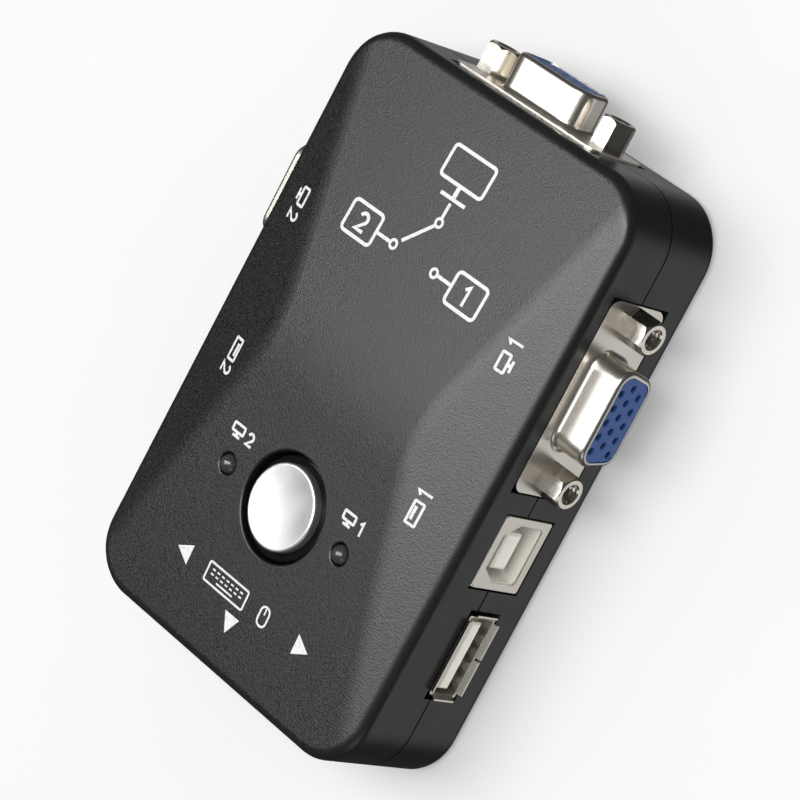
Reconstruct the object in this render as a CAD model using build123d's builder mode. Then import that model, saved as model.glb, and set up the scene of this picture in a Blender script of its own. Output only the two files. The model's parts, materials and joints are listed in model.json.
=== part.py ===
"""Two-port desktop KVM switch: a small black box with a push button between two lamps,
three VGA sockets, two USB-B sockets and three USB-A sockets on one circuit board.

Millimetres, +Z up. The origin is the centre of the bottom face. +X is the side of
computer 1, -X the side of computer 2, +Y the end with the monitor's VGA socket.
"""

import os
from math import cos, pi, radians, tan

from build123d import *

# ---------------------------------------------------------------- driving dimensions

# Case
CASE_HALF_WIDTH = 30.9
CASE_HALF_LENGTH = 47.65
CORNER_RADIUS = 8.9
WALL = 2.0
PARTING_Z = 11.28
PARTING_GAP = 0.3
TOP_EDGE_RADIUS = 1.8
BOTTOM_EDGE_RADIUS = 1.75

# Hipped top: a short ridge across the case and four planes that fall away from it
RIDGE_Z = 24.5
RIDGE_Y = 1.7
RIDGE_HALF = 15.6
FAR_HIP = (27.0, 40.0, 21.66)
NEAR_HIP = (27.8, -39.0, 22.38)
RIDGE_BLEND_RADIUS = 110.0
HIP_BLEND_RADIUS = 12.0
HOLE_RIM_RADIUS = 0.3

# Lip that keys the two covers together
LIP_THICKNESS = 0.9
LIP_HEIGHT = 1.5
LIP_CLEARANCE = 0.1

# Screw bosses
BOSS_SPACING_X = 46.4
BOSS_SPACING_Y = 80.0
BOSS_RADIUS = 3.0
BOSS_SPLIT_Z = 6.5
BOSS_TOP_Z = 20.6
SCREW_RADIUS = 1.25
SCREW_HOLE_RADIUS = 1.3
SCREW_TOP_Z = 12.0
SCREW_HEAD_RADIUS = 2.2
SCREW_HEAD_HEIGHT = 1.6
COUNTERBORE_RADIUS = 2.6
COUNTERBORE_DEPTH = 3.0
POST_HOLE_RADIUS = 1.4

# Circuit board
BOARD_BOTTOM_Z = 3.3
BOARD_THICKNESS = 1.6
BOARD_TOP_Z = BOARD_BOTTOM_Z + BOARD_THICKNESS
BOARD_EDGE_GAP = 0.6
BOARD_POST_GAP = 0.3
BOARD_REST_SPACING = (20.0, 56.0)
BOARD_REST_MIDDLE_Y = -4.0
BOARD_REST_RADIUS = 2.2
PIN_END_Z = 2.5
PIN_WIDTH = 0.5
PIN_HOLE_RADIUS = 0.5
LEG_HOLE_RADIUS = 0.85
LEG_WIDTH = 1.4

# VGA socket, type DE-15
VGA_Z = 11.28
VGA_SIDE_Y = 16.8
VGA_END_STANDOFF = 0.35
FLANGE_WIDTH = 30.8
FLANGE_HEIGHT = 12.5
FLANGE_CORNER_RADIUS = 1.8
FLANGE_THICKNESS = 0.5
SHELL_WIDTH = 16.33
SHELL_HEIGHT = 7.9
SHELL_CORNER_RADIUS = 2.6
SHELL_SIDE_ANGLE = 10.0
SHELL_DEPTH = 5.9
SHELL_THICKNESS = 0.45
SHELL_RIM_WIDTH = 0.8
SHELL_ROOT_RADIUS = 0.8
SHELL_RIM_RADIUS = 0.7
CONTACT_PITCH = 2.29
CONTACT_ROW_PITCH = 1.98
SCREW_SPACING = 24.99
JACK_ACROSS_FLATS = 4.76
JACK_LENGTH = 4.65
JACK_THREAD_RADIUS = 1.42
JACK_THREAD_DEPTH = 3.9
JACK_FRONT_STEP = 0.1
JACK_MOUTH_CHAMFER = 0.25
VGA_CUTOUT_GAP = 0.3

# USB-B socket
USB_B_Y = -8.25
USB_B_Z = 10.4
USB_B_WIDTH = 11.8
USB_B_HEIGHT = 10.8
USB_B_DEPTH = 16.0
USB_B_METAL = 0.3
USB_B_MOUTH_WIDTH = 9.4
USB_B_MOUTH_HEIGHT = 8.1
USB_B_CHAMFER_ACROSS = 2.0
USB_B_CHAMFER_DOWN = 2.9
USB_B_CUTOUT_GAP = 0.25

# USB-A socket
USB_A_Y = -25.1
USB_A_Z = 9.35
USB_A_MOUTH_WIDTH = 12.5
USB_A_MOUTH_HEIGHT = 5.12
USB_A_METAL = 0.3
USB_A_DEPTH = 13.9
USB_A_LIP_DEPTH = 0.8
USB_A_LIP_ANGLE = 36.0
USB_A_CUTOUT_WIDTH = 14.9
USB_A_CUTOUT_HEIGHT = 6.9

# Push button
BUTTON_Y = -20.0
BUTTON_HOLE_RADIUS = 8.35
COLLAR_WALL = 1.2
COLLAR_BOTTOM_Z = 18.0
BUTTON_TRAVEL = 1.5
CAP_RADIUS = 6.6
CAP_DECK_Z = 22.3
CAP_RIM_Z = 23.85
CAP_RIM_WIDTH = 0.45
CAP_EDGE_RADIUS = 0.3
CAP_DISH_DEPTH = 0.35
CAP_PEG_RADIUS = 1.5
CAP_PEG_LENGTH = 2.0

# Lamps
LED_X = 13.3
LED_Y = -20.1
LED_RADIUS = 1.5
LED_HOLE_RADIUS = 1.65
LED_SHOULDER_Z = 22.75
LED_BASE_Z = 18.5
LED_FLANGE_WIDTH = 0.4
LED_FLANGE_HEIGHT = 1.0
LED_LEAD_SPACING = 2.54

CLEARANCE = 0.05

# Pieces behind a VGA socket's face
JACK_TAIL_RADIUS = 1.15
JACK_TAIL_HOLE_RADIUS = 1.6
JACK_TAIL_LENGTH = 4.8
JACK_NUT_ACROSS_FLATS = 6.35
JACK_NUT_THICKNESS = 2.0
VGA_PLASTIC_FLANGE = 1.5
VGA_PLASTIC_MARGIN = 0.2
VGA_BRACKET_THICKNESS = 0.5
VGA_BRACKET_MARGIN = 0.3
VGA_BRACKET_WINDOW_GAP = 0.2
VGA_BRACKET_FOOT_WIDTH = 4.0
VGA_BRACKET_FOOT_RISE = 0.45
VGA_REAR_WIDTH = 15.6
VGA_REAR_HEIGHT = 9.0
VGA_REAR_DEPTH = 6.5
VGA_FACE_BOSS = 0.3
VGA_HOLE_RADIUS = 0.55
VGA_HOLE_CHAMFER = 0.12
VGA_CONTACT_FRONT = 3.4

# Plastic inside the USB sockets
USB_B_CAVITY_DEPTH = 9.0
USB_B_TONGUE_WIDTH = 5.9
USB_B_TONGUE_HEIGHT = 3.2
USB_B_TONGUE_RECESS = 1.0
USB_B_TONGUE_CHAMFER = 0.35
USB_B_LINING_INSET = 0.12
USB_B_CORNER_RADIUS = 0.5
USB_B_FACE_CHAMFER = 0.12
USB_B_FOLD_SLIT = (0.9, 0.18)
USB_B_FOLD_DROP = 0.45
USB_B_CONTACT_SETBACK = 1.3
USB_B_CONTACT_DEPTH = 0.2
USB_A_CAVITY_DEPTH = 10.5
USB_A_TONGUE_WIDTH = 11.1
USB_A_TONGUE_HEIGHT = 2.2
USB_A_TONGUE_Y = 0.35
USB_A_TONGUE_RECESS = 0.1
USB_A_TONGUE_CHAMFER = 0.3
USB_A_GROOVE = (1.2, 0.9)
USB_A_GROOVE_SETBACK = 0.8
USB_A_CONTACT_SETBACK = 1.0
USB_A_CONTACT_WIDTH = 1.0
USB_A_FOOT_FRONT = 3.0
USB_A_BACK_WALL = 0.9
CONTACT_WIDTH = 0.8
CONTACT_THICKNESS = 0.24
CONTACT_TAIL_WIDTH = 0.6

# Button stem and the push switch below it
BUTTON_CLEARANCE = 0.4
STEM_BOTTOM_Z = 15.2
STEM_FLANGE_WIDTH = 0.8
STEM_FLANGE_THICKNESS = 1.2
STEM_FLANGE_GAP = 0.1
STEM_WALL = 1.2
STEM_ROOF = 1.4
STEM_POST_RADIUS = 3.6
STEM_EDGE_RADIUS = 0.4
PLUNGER_GAP = 0.1
PLUNGER_WIDTH = 3.0
PLUNGER_TOP_Z = 17.0
SWITCH_WIDTH = 8.5
SWITCH_HEIGHT = 7.6
SWITCH_CORNER_RADIUS = 0.4
SWITCH_ROOF = 1.0
SWITCH_BORE_RADIUS = 3.0
SPRING_BOTTOM_Z = 6.4
SPRING_TOP_Z = 10.2
SPRING_RADIUS = 2.2
SPRING_WIRE_RADIUS = 0.18
SPRING_TURNS = 4
SWITCH_PINS = [(x, BUTTON_Y + y) for x in (-2.5, 0.0, 2.5) for y in (-2.5, 2.5)]

# Small parts on the board. A chip is (place, body, leads on a side, pitch).
CONTROLLER_CHIP = ((0, 8), (10.0, 10.0, 1.6), 8, 1.0)
BUS_SWITCH_CHIP = ((0, 24), (9.8, 3.9, 1.5), 7, 1.27)
CHIP_STANDOFF = 0.1
CHIP_CHAMFER = 0.2
CHIP_DOT_RADIUS = 0.4
CHIP_DOT_DEPTH = 0.1
CHIP_DOT_INSET = 1.2
LEAD_FILL = 0.45
LEAD_REACH = 1.0
LEAD_THICKNESS = 0.2
LEAD_KNEE = 0.25
LEAD_RISE = 0.9
CRYSTAL_PLACE = (-11, 8)
CRYSTAL_BASE = (11.0, 4.6, 0.4)
CRYSTAL_CAN = (10.2, 3.8, 3.1)
CAPACITOR_RADIUS = 2.5
CAPACITOR_HEIGHT = 5.4
CAN_EDGE_RADIUS = 0.5
CAPACITOR_PLACES = [(11, 2), (11, 10), (-11, -2)]
RESISTOR_SIZE = (2.0, 1.25, 0.5)
RESISTOR_PLACES = [(x, y) for x in (-6.5, -2.2, 2.2, 6.5) for y in (-8.5, -5.5, 17.5)]


# ---------------------------------------------------------------- helpers

ON_BASE = (Align.CENTER, Align.CENTER, Align.MIN)


def save(builder, name):
    """Label a finished piece and write it to its own file."""
    builder.part.label = name
    export_step(builder.part, f"parts/{name}.step")


def port(x, y, z, outward):
    """A socket's own plane: local X to the viewer's right, local Y up, local Z out of the case."""
    right = Vector(0, 0, 1).cross(Vector(*outward))
    return Plane(origin=(x, y, z), x_dir=right, z_dir=outward)


def board_points(socket, points):
    """Places on the board, each given as (distance across, depth behind the socket's face)."""
    places = []
    for across, depth in points:
        place = socket.origin + socket.x_dir * across - socket.z_dir * depth
        places.append((place.X, place.Y))
    return places


def place_on(template, socket, name):
    """Write a copy of a template piece, moved to its socket."""
    with BuildPart() as piece:
        with Locations(socket.location):
            add(template.part)
    save(piece, name)


VGA_PORTS = {
    "vga_pc1": port(CASE_HALF_WIDTH, VGA_SIDE_Y, VGA_Z, (1, 0, 0)),
    "vga_pc2": port(-CASE_HALF_WIDTH, VGA_SIDE_Y, VGA_Z, (-1, 0, 0)),
    "vga_console": port(0, CASE_HALF_LENGTH + VGA_END_STANDOFF, VGA_Z, (0, 1, 0)),
}
USB_B_PORTS = {
    "usb_b_pc1": port(CASE_HALF_WIDTH, USB_B_Y, USB_B_Z, (1, 0, 0)),
    "usb_b_pc2": port(-CASE_HALF_WIDTH, USB_B_Y, USB_B_Z, (-1, 0, 0)),
}
USB_A_PORTS = {
    "usb_a_right": port(CASE_HALF_WIDTH, USB_A_Y, USB_A_Z, (1, 0, 0)),
    "usb_a_left": port(-CASE_HALF_WIDTH, USB_A_Y, USB_A_Z, (-1, 0, 0)),
    "usb_a_end": port(0, -CASE_HALF_LENGTH, USB_A_Z, (0, -1, 0)),
}

# Contacts of a VGA socket: three rows of five, the middle row half a pitch to the right
VGA_ROWS = [
    (CONTACT_ROW_PITCH, -CONTACT_PITCH / 4, 14.2),
    (0.0, CONTACT_PITCH / 4, 12.4),
    (-CONTACT_ROW_PITCH, -CONTACT_PITCH / 4, 10.6),
]
VGA_CONTACTS = [
    (shift + (place - 2) * CONTACT_PITCH, height, depth)
    for height, shift, depth in VGA_ROWS
    for place in range(5)
]
VGA_LEG_ACROSS = 12.5
VGA_LEG_DEPTH = 7.25
USB_A_PIN_ACROSS = (-3.5, -1.0, 1.0, 3.5)
USB_A_PIN_DEPTH = 15.6
USB_A_LEG_DEPTH = 5.5
USB_B_PINS = [(-1.25, 17.0), (1.25, 17.0), (-1.25, 19.0), (1.25, 19.0)]
USB_B_LEG_DEPTH = 11.0


# ---------------------------------------------------------------- case


def case_outline(inset):
    """The case's rounded plan outline, moved inwards by the inset."""
    RectangleRounded(
        2 * (CASE_HALF_WIDTH - inset),
        2 * (CASE_HALF_LENGTH - inset),
        CORNER_RADIUS - inset,
    )


def plane_through(first, second, third):
    """A plane through three points, facing up."""
    first, second, third = Vector(*first), Vector(*second), Vector(*third)
    normal = (second - first).cross(third - first)
    if normal.Z < 0:
        normal = normal * -1
    return Plane(origin=first, z_dir=normal)


def side_planes(lowered):
    """The planes of the two side facets, moved into the case by the given distance."""
    left = (-RIDGE_HALF, RIDGE_Y, RIDGE_Z)
    right = (RIDGE_HALF, RIDGE_Y, RIDGE_Z)
    far_left, near_left = ((-x, y, z) for x, y, z in (FAR_HIP, NEAR_HIP))
    planes = [
        plane_through(right, FAR_HIP, NEAR_HIP),
        plane_through(left, far_left, near_left),
    ]
    return [plane.offset(-lowered) for plane in planes]


def roof_profile(lowered):
    """The case seen from the side: two slopes that meet in a soft ridge."""
    reach = CASE_HALF_LENGTH + 2 * WALL
    far_slope = (RIDGE_Z - FAR_HIP[2]) / (FAR_HIP[1] - RIDGE_Y)
    near_slope = (RIDGE_Z - NEAR_HIP[2]) / (RIDGE_Y - NEAR_HIP[1])
    with BuildSketch(Plane.YZ.offset(-CASE_HALF_WIDTH)) as profile:
        Polygon(
            (-reach, 0),
            (reach, 0),
            (reach, RIDGE_Z - far_slope * (reach - RIDGE_Y)),
            (RIDGE_Y, RIDGE_Z),
            (-reach, RIDGE_Z - near_slope * (reach + RIDGE_Y)),
            align=None,
        )
        fillet(profile.vertices().sort_by(Axis.Y)[-1], RIDGE_BLEND_RADIUS)
        if lowered:
            offset(amount=-lowered)
    return profile.sketch


def hipped_block(inset, lowered, bottom_z):
    """A solid with the case's outline and its hipped top, inside a BuildPart."""
    with BuildSketch(Plane.XY.offset(bottom_z)) as outline:
        case_outline(inset)
    extrude(outline.sketch, amount=2 * RIDGE_Z)
    extrude(roof_profile(lowered), amount=2 * CASE_HALF_WIDTH, mode=Mode.INTERSECT)
    for plane in side_planes(lowered):
        split(bisect_by=plane, keep=Keep.BOTTOM)


def is_roof_edge(edge):
    """Whether an edge lies within the roof: on a hip, or where a slope meets the ridge."""
    middle = edge @ 0.5
    across = abs(middle.X) < CASE_HALF_WIDTH - 2 and abs(middle.Y) < CASE_HALF_LENGTH - 2
    return across and middle.Z > PARTING_Z + 2


def is_hip(edge):
    """Whether an edge is a hip, between a side facet and the slopes or the ridge."""
    return is_roof_edge(edge) and abs((edge @ 0.5).X) > RIDGE_HALF - 2


def is_hole_rim(edge):
    """Whether an edge is the upper rim of the button hole or of a lamp hole."""
    middle = edge @ 0.5
    near_row = abs(middle.Y - BUTTON_Y) < BUTTON_HOLE_RADIUS + 1
    return near_row and abs(middle.X) < LED_X + 3 and middle.Z > RIDGE_Z - WALL


def cut_ports():
    """Cut every socket's opening through a cover's walls, inside a BuildPart."""
    sizes = [
        (VGA_PORTS, FLANGE_WIDTH + 2 * VGA_CUTOUT_GAP, FLANGE_HEIGHT + 2 * VGA_CUTOUT_GAP),
        (USB_B_PORTS, USB_B_WIDTH + 2 * USB_B_CUTOUT_GAP, USB_B_HEIGHT + 2 * USB_B_CUTOUT_GAP),
        (USB_A_PORTS, USB_A_CUTOUT_WIDTH, USB_A_CUTOUT_HEIGHT),
    ]
    for ports, width, height in sizes:
        for socket in ports.values():
            with BuildSketch(socket.offset(2 * WALL)) as opening:
                Rectangle(width, height)
            extrude(opening.sketch, amount=-4.2 * WALL, mode=Mode.SUBTRACT)


def make_top_cover():
    with BuildPart() as cavity:
        hipped_block(WALL, WALL, PARTING_Z - 1)
    with BuildPart() as cover:
        hipped_block(0, 0, PARTING_Z + PARTING_GAP / 2)
        fillet([edge for edge in cover.edges() if is_hip(edge)], HIP_BLEND_RADIUS)
        rim = cover.faces().sort_by(Axis.Z)[0]
        rim_edges = [
            edge
            for edge in cover.edges()
            if not is_roof_edge(edge)
            and edge.bounding_box().min.Z > PARTING_Z + 5
            and edge not in rim.edges()
        ]
        fillet(rim_edges, TOP_EDGE_RADIUS)
        add(cavity.part, mode=Mode.SUBTRACT)
        # Rebate for the bottom cover's lip
        with BuildSketch(Plane.XY.offset(PARTING_Z - 1)):
            case_outline(WALL - LIP_THICKNESS - LIP_CLEARANCE)
        extrude(amount=1 + LIP_HEIGHT + LIP_CLEARANCE, mode=Mode.SUBTRACT)
        # Collar that guides the button
        with BuildSketch(Plane.XY.offset(COLLAR_BOTTOM_Z)):
            with Locations((0, BUTTON_Y)):
                Circle(BUTTON_HOLE_RADIUS + COLLAR_WALL)
        extrude(amount=RIDGE_Z - COLLAR_BOTTOM_Z - WALL)
        with BuildSketch(Plane.XY.offset(COLLAR_BOTTOM_Z - 1)):
            with Locations((0, BUTTON_Y)):
                Circle(BUTTON_HOLE_RADIUS)
            with Locations((-LED_X, LED_Y), (LED_X, LED_Y)):
                Circle(LED_HOLE_RADIUS)
        extrude(amount=RIDGE_Z, mode=Mode.SUBTRACT)
        # Screw bosses
        with BuildSketch(Plane.XY.offset(BOSS_SPLIT_Z)):
            with GridLocations(BOSS_SPACING_X, BOSS_SPACING_Y, 2, 2):
                Circle(BOSS_RADIUS)
        extrude(amount=BOSS_TOP_Z - BOSS_SPLIT_Z)
        with BuildSketch(Plane.XY.offset(BOSS_SPLIT_Z)):
            with GridLocations(BOSS_SPACING_X, BOSS_SPACING_Y, 2, 2):
                Circle(SCREW_HOLE_RADIUS)
        extrude(amount=SCREW_TOP_Z - BOSS_SPLIT_Z + 1, mode=Mode.SUBTRACT)
        cut_ports()
        # Softened rims of the button and lamp holes
        hole_rims = [edge for edge in cover.edges() if is_hole_rim(edge)]
        fillet(hole_rims, HOLE_RIM_RADIUS)
    save(cover, "top_cover")


def make_bottom_cover():
    top_z = PARTING_Z - PARTING_GAP / 2
    with BuildPart() as cover:
        with BuildSketch(Plane.XY):
            case_outline(0)
        extrude(amount=top_z)
        fillet(cover.faces().sort_by(Axis.Z)[0].edges(), BOTTOM_EDGE_RADIUS)
        with BuildSketch(Plane.XY.offset(top_z)):
            case_outline(WALL - LIP_THICKNESS)
        extrude(amount=LIP_HEIGHT + PARTING_GAP / 2)
        with BuildSketch(Plane.XY.offset(WALL)):
            case_outline(WALL)
        extrude(amount=PARTING_Z, mode=Mode.SUBTRACT)
        # Screw posts and board rests
        with BuildSketch(Plane.XY.offset(WALL)):
            with GridLocations(BOSS_SPACING_X, BOSS_SPACING_Y, 2, 2):
                Circle(BOSS_RADIUS)
        extrude(amount=BOSS_SPLIT_Z - WALL)
        with BuildSketch(Plane.XY.offset(WALL)):
            with GridLocations(*BOARD_REST_SPACING, 2, 2):
                Circle(BOARD_REST_RADIUS)
            with Locations((0, BOARD_REST_MIDDLE_Y)):
                Circle(BOARD_REST_RADIUS)
        extrude(amount=BOARD_BOTTOM_Z - WALL)
        with BuildSketch(Plane.XY):
            with GridLocations(BOSS_SPACING_X, BOSS_SPACING_Y, 2, 2):
                Circle(POST_HOLE_RADIUS)
        extrude(amount=BOSS_SPLIT_Z, mode=Mode.SUBTRACT)
        with BuildSketch(Plane.XY):
            with GridLocations(BOSS_SPACING_X, BOSS_SPACING_Y, 2, 2):
                Circle(COUNTERBORE_RADIUS)
        extrude(amount=COUNTERBORE_DEPTH, mode=Mode.SUBTRACT)
        cut_ports()
    save(cover, "bottom_cover")


def make_case_screws():
    with BuildPart() as screws:
        with GridLocations(BOSS_SPACING_X, BOSS_SPACING_Y, 2, 2):
            with Locations((0, 0, COUNTERBORE_DEPTH - SCREW_HEAD_HEIGHT)):
                Cylinder(SCREW_HEAD_RADIUS, SCREW_HEAD_HEIGHT, align=ON_BASE)
            with Locations((0, 0, COUNTERBORE_DEPTH)):
                Cylinder(SCREW_RADIUS, SCREW_TOP_Z - COUNTERBORE_DEPTH, align=ON_BASE)
    save(screws, "case_screws")


# ---------------------------------------------------------------- circuit board


def make_circuit_board():
    pins = []
    for socket in VGA_PORTS.values():
        holes = [(across, depth) for across, _, depth in VGA_CONTACTS]
        pins += board_points(socket, holes)
    for socket in USB_B_PORTS.values():
        pins += board_points(socket, USB_B_PINS)
    for socket in USB_A_PORTS.values():
        pins += board_points(socket, [(across, USB_A_PIN_DEPTH) for across in USB_A_PIN_ACROSS])
    for side in (-1, 1):
        for lead in (-1, 1):
            pins.append((side * LED_X + lead * LED_LEAD_SPACING / 2, LED_Y))
    pins += SWITCH_PINS
    legs = []
    for ports, across, depth in (
        (VGA_PORTS, VGA_LEG_ACROSS, VGA_LEG_DEPTH),
        (USB_B_PORTS, USB_B_WIDTH / 2 - USB_B_METAL / 2, USB_B_LEG_DEPTH),
        (USB_A_PORTS, USB_A_MOUTH_WIDTH / 2 + USB_A_METAL / 2, USB_A_LEG_DEPTH),
    ):
        for socket in ports.values():
            legs += board_points(socket, [(-across, depth), (across, depth)])
    with BuildPart() as board:
        with BuildSketch(Plane.XY.offset(BOARD_BOTTOM_Z)):
            case_outline(WALL + BOARD_EDGE_GAP)
            with GridLocations(BOSS_SPACING_X, BOSS_SPACING_Y, 2, 2):
                Circle(BOSS_RADIUS + BOARD_POST_GAP, mode=Mode.SUBTRACT)
            with Locations(*pins):
                Circle(PIN_HOLE_RADIUS, mode=Mode.SUBTRACT)
            with Locations(*legs):
                Circle(LEG_HOLE_RADIUS, mode=Mode.SUBTRACT)
        extrude(amount=BOARD_THICKNESS)
    save(board, "circuit_board")


def block(x, y, bottom_z, size, corner=0.0):
    """A box that stands on a level, inside a BuildPart, with its upright corners rounded."""
    with BuildSketch(Plane.XY.offset(bottom_z)) as footprint:
        with Locations((x, y)):
            if corner:
                RectangleRounded(size[0], size[1], corner)
            else:
                Rectangle(size[0], size[1])
    extrude(footprint.sketch, amount=size[2])


def make_chip(name, design, sides):
    """A flat chip and its gull-wing leads, on two sides or on all four."""
    (x, y), (length, width, height), leads_per_side, pitch = design
    base_z = BOARD_TOP_Z + CHIP_STANDOFF
    dot = (x - length / 2 + CHIP_DOT_INSET, y + width / 2 - CHIP_DOT_INSET)
    with BuildPart() as chip:
        block(x, y, base_z, (length, width, height))
        chamfer(chip.faces().sort_by(Axis.Z)[-1].edges(), CHIP_CHAMFER)
        with Locations((*dot, base_z + height - CHIP_DOT_DEPTH)):
            Cylinder(CHIP_DOT_RADIUS, 2 * CHIP_DOT_DEPTH, align=ON_BASE, mode=Mode.SUBTRACT)
    save(chip, name)
    lead_width = pitch * LEAD_FILL
    with BuildPart() as leads:
        for side in range(sides):
            angle = side * 360 / sides
            upright = angle % 180 == 0
            body_edge = (width if upright else length) / 2 + CLEARANCE
            for place in range(leads_per_side):
                along = (place - (leads_per_side - 1) / 2) * pitch
                for reach, height in ((LEAD_REACH, LEAD_THICKNESS), (LEAD_KNEE, LEAD_RISE)):
                    centre = Vector(along, body_edge + reach / 2).rotate(Axis.Z, angle)
                    footprint = (lead_width, reach) if upright else (reach, lead_width)
                    block(x + centre.X, y + centre.Y, BOARD_TOP_Z, (*footprint, height))
    save(leads, name + "_leads")


def make_board_parts():
    make_chip("controller_chip", CONTROLLER_CHIP, 4)
    make_chip("bus_switch_chip", BUS_SWITCH_CHIP, 2)
    with BuildPart() as crystal:
        bottom_z = BOARD_TOP_Z
        for length, width, height in (CRYSTAL_BASE, CRYSTAL_CAN):
            with BuildSketch(Plane.XY.offset(bottom_z)) as can:
                with Locations(CRYSTAL_PLACE):
                    SlotOverall(length, width, rotation=90)
            extrude(can.sketch, amount=height)
            bottom_z += height
        fillet(crystal.faces().sort_by(Axis.Z)[-1].edges(), CAN_EDGE_RADIUS)
    save(crystal, "crystal")
    with BuildPart() as capacitors:
        with BuildSketch(Plane.XY.offset(BOARD_TOP_Z)):
            with Locations(*CAPACITOR_PLACES):
                Circle(CAPACITOR_RADIUS)
        extrude(amount=CAPACITOR_HEIGHT)
        fillet(capacitors.edges().group_by(Axis.Z)[-1], CAN_EDGE_RADIUS)
    save(capacitors, "capacitors")
    with BuildPart() as resistors:
        for x, y in RESISTOR_PLACES:
            block(x, y, BOARD_TOP_Z, RESISTOR_SIZE)
    save(resistors, "chip_resistors")


# ---------------------------------------------------------------- VGA sockets


def shell_profile(inset):
    """The D-shaped outline of a VGA shell, wide side up, moved inwards by the inset."""
    height = SHELL_HEIGHT / 2 - inset
    slope = tan(radians(SHELL_SIDE_ANGLE))
    side_inset = inset / cos(radians(SHELL_SIDE_ANGLE))
    top = SHELL_WIDTH / 2 - side_inset - inset * slope
    bottom = top - 2 * height * slope
    outline = Polygon((-bottom, -height), (bottom, -height), (top, height), (-top, height), align=None)
    fillet(outline.vertices(), SHELL_CORNER_RADIUS - inset)


def flange_holes(radius):
    """The pair of jackscrew holes in a VGA flange, inside a BuildSketch."""
    with GridLocations(SCREW_SPACING, 1, 2, 1):
        Circle(radius, mode=Mode.SUBTRACT)


def vga_shell():
    with BuildPart() as shell:
        with BuildSketch():
            shell_profile(0)
        extrude(amount=SHELL_DEPTH)
        fillet(shell.faces().sort_by(Axis.Z)[-1].edges(), SHELL_RIM_RADIUS)
        with BuildSketch(Plane.XY.offset(-FLANGE_THICKNESS)):
            RectangleRounded(FLANGE_WIDTH, FLANGE_HEIGHT, FLANGE_CORNER_RADIUS)
        extrude(amount=FLANGE_THICKNESS)
        roots = [
            edge
            for edge in shell.edges()
            if abs((edge @ 0.5).Z) < 0.01
            and abs((edge @ 0.5).X) < SHELL_WIDTH / 2 + 1
            and abs((edge @ 0.5).Y) < SHELL_HEIGHT / 2 + 0.1
        ]
        fillet(roots, SHELL_ROOT_RADIUS)
        with BuildSketch(Plane.XY.offset(-FLANGE_THICKNESS)):
            shell_profile(SHELL_THICKNESS)
        extrude(amount=FLANGE_THICKNESS + SHELL_DEPTH - SHELL_THICKNESS, mode=Mode.SUBTRACT)
        with BuildSketch(Plane.XY.offset(SHELL_DEPTH + 1)):
            shell_profile(SHELL_RIM_WIDTH)
        extrude(amount=-3, mode=Mode.SUBTRACT)
        with BuildSketch(Plane.XY.offset(-1)):
            with GridLocations(SCREW_SPACING, 1, 2, 1):
                Circle(JACK_TAIL_HOLE_RADIUS)
        extrude(amount=2, mode=Mode.SUBTRACT)
    return shell


def vga_insulator():
    front = SHELL_DEPTH - SHELL_THICKNESS - CLEARANCE
    with BuildPart() as insulator:
        with BuildSketch(Plane.XY.offset(-FLANGE_THICKNESS)):
            shell_profile(SHELL_THICKNESS + CLEARANCE)
        extrude(amount=FLANGE_THICKNESS + front)
        with BuildSketch(Plane.XY.offset(front)):
            shell_profile(SHELL_RIM_WIDTH + CLEARANCE)
        extrude(amount=VGA_FACE_BOSS)
        with BuildSketch(Plane.XY.offset(-FLANGE_THICKNESS)):
            RectangleRounded(
                FLANGE_WIDTH - 2 * VGA_PLASTIC_MARGIN,
                FLANGE_HEIGHT - 2 * VGA_PLASTIC_MARGIN,
                FLANGE_CORNER_RADIUS,
            )
            flange_holes(JACK_TAIL_HOLE_RADIUS)
        extrude(amount=-VGA_PLASTIC_FLANGE)
        with BuildSketch(Plane.XY.offset(-FLANGE_THICKNESS - VGA_PLASTIC_FLANGE)):
            Rectangle(VGA_REAR_WIDTH, VGA_REAR_HEIGHT)
        extrude(amount=-VGA_REAR_DEPTH)
        holes = [(across, height) for across, height, _ in VGA_CONTACTS]
        with BuildSketch(Plane.XY.offset(SHELL_DEPTH)):
            with Locations(*holes):
                Circle(VGA_HOLE_RADIUS)
        extrude(amount=-20, mode=Mode.SUBTRACT)
        mouth_z = front + VGA_FACE_BOSS
        mouths = [
            edge
            for edge in insulator.edges().filter_by(GeomType.CIRCLE)
            if (edge @ 0.5).Z > mouth_z - 0.01 and abs(edge.radius - VGA_HOLE_RADIUS) < 0.01
        ]
        chamfer(mouths, VGA_HOLE_CHAMFER)
    return insulator


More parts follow.
